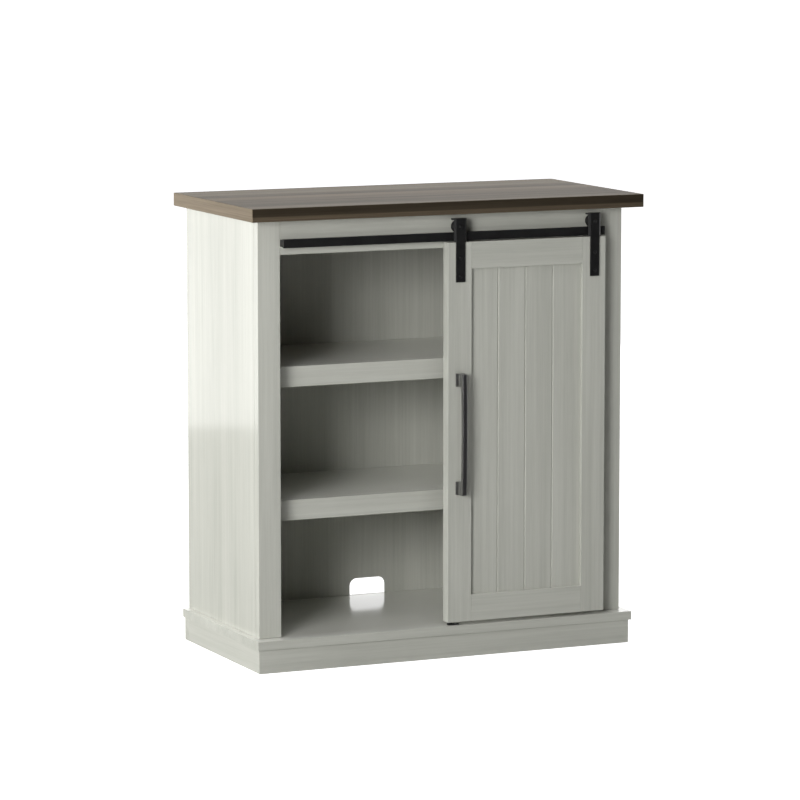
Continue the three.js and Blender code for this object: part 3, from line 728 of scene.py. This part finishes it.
def make_handle_foot(node):
    """A foot whose sides flare out in a hollow curve to where it meets the door."""
    low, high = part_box(node)
    bar_low, bar_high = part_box("handle_bar")
    narrow = (bar_high.x - bar_low.x) / 2
    wide = (high.x - low.x) / 2
    centre_x = (low.x + high.x) / 2
    door_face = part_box("door_left_stile")[0].y
    lip_y = high.y - FOOT_LIP
    outline = [(wide, min(high.y + FOOT_SHIFT, door_face))]
    for i in range(FOOT_STEPS + 1):
        t = i / FOOT_STEPS
        y = lip_y + (low.y + FOOT_SHIFT - lip_y) * t
        outline.append((narrow + (wide - narrow) * (1 - t) ** FOOT_FLARE, y))
    outline = [(centre_x + x, y) for x, y in outline] + [(centre_x - x, y) for x, y in reversed(outline)]
    foot = upright_prism(f"{node}_flared", outline, low.z, high.z, FINISHES["gunmetal"])
    ease_edges(foot, FOOT_EDGE, 2, FOOT_EDGE_ANGLE)
    place_piece(foot, "door", "gunmetal", node)


# ---- hardware ----
# How wide the edges of the pieces that stay as CAD nodes are eased.
RAIL_EDGE = 0.6 * MM
SPACER_EDGE = 0.4 * MM
HANGER_EDGE = 0.55 * MM
NUT_EDGE = 0.35 * MM
GUIDE_EDGE = 0.3 * MM
GUIDE_SCREW_EDGE = 0.25 * MM
AXLE_BORE = 2.9 * MM                    # radius of the bore of wheels and bushes
BUSH_EDGE = 0.2 * MM
WHEEL_TREAD = 1.5 * MM                  # the tread below the flange
WHEEL_LIP = 1.8 * MM                    # thickness of a flange
WHEEL_EDGE = 0.35 * MM
WHEEL_HUB = 5.2 * MM
WHEEL_RIM = 9.2 * MM
WHEEL_SUNK = 0.5 * MM                   # depth of the web between hub and rim
WEB_SLOPE = 0.4 * MM
PIN_SHANK = 2.3 * MM
PIN_EDGE = 0.6 * MM
PIN_OUTSIDE = 7 * MM                    # length of the collar and the part under the shelf
PIN_STEP = 0.5 * MM                     # how far the collar stands out from the part under the shelf


def make_wheel(side):
    """A wheel with two flanges, whose web is a little sunk on both faces."""
    node = f"wheel_{side}"
    low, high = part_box(node)
    flange = (high.x - low.x) / 2
    tread = flange - WHEEL_TREAD
    half = [
        (AXLE_BORE, WHEEL_EDGE), (AXLE_BORE + WHEEL_EDGE, 0), (WHEEL_HUB, 0),
        (WHEEL_HUB + WEB_SLOPE, WHEEL_SUNK), (WHEEL_RIM - WEB_SLOPE, WHEEL_SUNK), (WHEEL_RIM, 0),
        (flange - WHEEL_EDGE, 0), (flange - 0.1 * MM, 0.1 * MM), (flange, WHEEL_EDGE),
        (flange, WHEEL_LIP - 0.9 * MM), (flange - 0.25 * MM, WHEEL_LIP - 0.45 * MM),
        (tread + 0.1 * MM, WHEEL_LIP - 0.1 * MM), (tread, WHEEL_LIP + 0.2 * MM),
    ]
    front = [(radius, low.y + depth) for radius, depth in half]
    back = [(radius, high.y - depth) for radius, depth in reversed(half)]
    lathed(node, f"wheel_{side}_body", "black_nylon", "Y", front + back + front[:1])


def make_bush(side):
    node = f"wheel_bush_{side}"
    low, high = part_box(node)
    outer = (high.x - low.x) / 2
    lathed(node, "door", "zinc_steel", "Y", [
        (AXLE_BORE, low.y), (outer - BUSH_EDGE, low.y), (outer, low.y + BUSH_EDGE),
        (outer, high.y - BUSH_EDGE), (outer - BUSH_EDGE, high.y), (AXLE_BORE, high.y),
        (AXLE_BORE, low.y),
    ])


def make_shelf_pin(node, side):
    """A pin with a collar against the side panel. It points from the panel into the case."""
    low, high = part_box(node)
    into, out, toward = (low.x, high.x, 1) if side == "left" else (high.x, low.x, -1)
    head = (high.z - low.z) / 2
    collar = out - toward * PIN_OUTSIDE
    lathed(node, "cabinet", "zinc_steel", "X", [
        (0, into), (PIN_SHANK - PIN_EDGE, into), (PIN_SHANK, into + toward * PIN_EDGE),
        (PIN_SHANK, collar), (head, collar + toward * 0.3 * MM), (head, collar + toward * 1.6 * MM),
        (head - PIN_STEP, collar + toward * 1.9 * MM), (head - PIN_STEP, out - toward * PIN_EDGE),
        (head - PIN_STEP - PIN_EDGE, out), (0, out),
    ])


def dress_track():
    finish_cad("track_rail", FINISHES["black_steel"], RAIL_EDGE, FINE_BEVEL)
    for place in ("left", "middle", "right"):
        finish_cad(f"track_spacer_{place}", FINISHES["black_steel"], SPACER_EDGE)
        domed_screw(f"track_bolt_{place}", "cabinet", "zinc_steel", TRACK_BOLT, flip=True)


def dress_hangers():
    for side in ("left", "right"):
        finish_cad(f"hanger_{side}", FINISHES["black_steel"], HANGER_EDGE, FINE_BEVEL)
        finish_cad(f"axle_nut_{side}", FINISHES["zinc_steel"], NUT_EDGE)
        domed_screw(f"axle_bolt_{side}", "door", "black_steel", AXLE_BOLT)
        for level in ("upper", "lower"):
            domed_screw(f"hanger_screw_{side}_{level}", "door", "black_steel", HANGER_SCREW)
        make_wheel(side)
        make_bush(side)


def dress_guide():
    finish_cad("door_guide", FINISHES["black_nylon"], GUIDE_EDGE)
    finish_cad("guide_screw", FINISHES["zinc_steel"], GUIDE_SCREW_EDGE)


def dress_handle():
    make_handle_bar()
    for level in ("lower", "upper"):
        make_handle_foot(f"handle_foot_{level}")
        domed_screw(f"handle_screw_{level}", "door", "zinc_steel", HANDLE_SCREW, flip=True)


def dress_shelf_pins():
    for level in ("lower", "upper"):
        for side in ("left", "right"):
            for place in ("front", "rear"):
                make_shelf_pin(f"shelf_pin_{level}_{side}_{place}", side)


# ---- stage ----
FLOOR_DARK = (0.66, 0.66, 0.66, 1)
FLOOR_LIGHT = (0.70, 0.70, 0.70, 1)
FLOOR_HALF = 30
FLOOR_GAP = 0.1 * MM
WHITE = (1, 1, 1, 1)


def make_stage():
    """A pale floor. It glows for the camera's rays only, so that it shows white and lights nothing."""
    material, tree, shader = new_material("studio_floor")
    soft = noise(tree, object_place(tree), scale=6, detail=3)
    set_colour(tree, shader, blend_colours(tree, soft, FLOOR_DARK, FLOOR_LIGHT))
    shader.inputs["Roughness"].default_value = 0.9
    shader.inputs["Specular IOR Level"].default_value = 0.1
    shader.inputs["Emission Color"].default_value = WHITE
    seen = add(tree, "ShaderNodeLightPath").outputs
    tree.links.new(seen["Is Camera Ray"], shader.inputs["Emission Strength"])
    grid = bmesh.new()
    bmesh.ops.create_grid(grid, x_segments=8, y_segments=8, size=FLOOR_HALF)
    floor = link_mesh("floor", grid, material)
    floor.location.z = cad_low.z - FLOOR_GAP
    floor.visible_glossy = False


# The stretch of each direction over which the world turns from dim to bright.
WORLD_RIGHTWARD = (-0.2, 0.4)
WORLD_BEHIND = (-0.25, 0.3)
# Strength of the world in the dim directions and in the bright ones.
WORLD_LIGHT = (0.015, 0.85)
WORLD_MIRRORED = (0.05, 1.7)
WORLD_SEEN = 1.05                       # by the camera


def make_world():
    """Bright behind the object and to its right, as light off a backdrop, and dim elsewhere. The camera
    sees it white all round."""
    world = bpy.data.worlds.new("studio")
    bpy.context.scene.world = world
    world.use_nodes = True
    tree = world.node_tree
    direction = parts_of(tree, add(tree, "ShaderNodeTexCoord").outputs["Generated"])
    rightward = spread(tree, direction[0], *WORLD_RIGHTWARD)
    behind = spread(tree, direction[1], *WORLD_BEHIND)
    backdrop = times(tree, behind, rightward)
    light = spread(tree, backdrop, 0.0, 1.0, *WORLD_LIGHT)
    mirrored = spread(tree, backdrop, 0.0, 1.0, *WORLD_MIRRORED)
    seen = add(tree, "ShaderNodeLightPath").outputs
    strength = blend_values(tree, seen["Is Glossy Ray"], light, mirrored)
    strength = blend_values(tree, seen["Is Camera Ray"], strength, WORLD_SEEN)
    background = tree.nodes["Background"]
    background.inputs["Color"].default_value = WHITE
    tree.links.new(strength, background.inputs["Strength"])


def area_light(name, place, aim, size, watts, mirrored=False):
    """A soft rectangular lamp that the camera can't see. Glossy faces mirror it only if mirrored is true."""
    light = bpy.data.lights.new(name, "AREA")
    light.shape = "RECTANGLE"
    light.size, light.size_y = size
    light.energy = watts
    lamp = bpy.data.objects.new(name, light)
    bpy.context.scene.collection.objects.link(lamp)
    lamp.visible_camera = False
    lamp.visible_glossy = mirrored
    lamp.location = place
    lamp.rotation_euler = (Vector(aim) - Vector(place)).to_track_quat("-Z", "Y").to_euler()


MIDDLE = (0.0, 0.0, 0.45)               # near the object's middle, where most lamps point
KEY_PLACE = (-3.47, -3.47, 1.42)        # to the front and left


def make_lights():
    """Lamps by place, aim, size and watts, in metres."""
    area_light("key", KEY_PLACE, MIDDLE, (1.3, 1.3), 118)
    area_light("key_gloss", KEY_PLACE, MIDDLE, (2.4, 2.0), 46, mirrored=True)
    area_light("high", (-1.77, -3.06, 3.99), MIDDLE, (1.5, 1.5), 13)
    area_light("overhead", (-0.4, -1.0, 3.2), MIDDLE, (1.5, 1.2), 9)
    area_light("side", (-4.93, 0.0, 1.32), MIDDLE, (0.9, 0.9), 152)
    area_light("side_glow", (-0.82, 0.99, 0.66), (-0.37, 0.0, 0.66), (0.9, 0.75), 2.5, mirrored=True)
    area_light("rear", (2.9, 3.5, 1.5), MIDDLE, (2.0, 2.0), 75)


def set_colour_view():
    settings = bpy.context.scene.view_settings
    settings.view_transform = "Standard"
    settings.look = "None"


make_camera()
dress_wood()
make_glue_line()
dress_track()
dress_hangers()
dress_guide()
dress_handle()
dress_shelf_pins()
make_stage()
make_world()
make_lights()
set_colour_view()
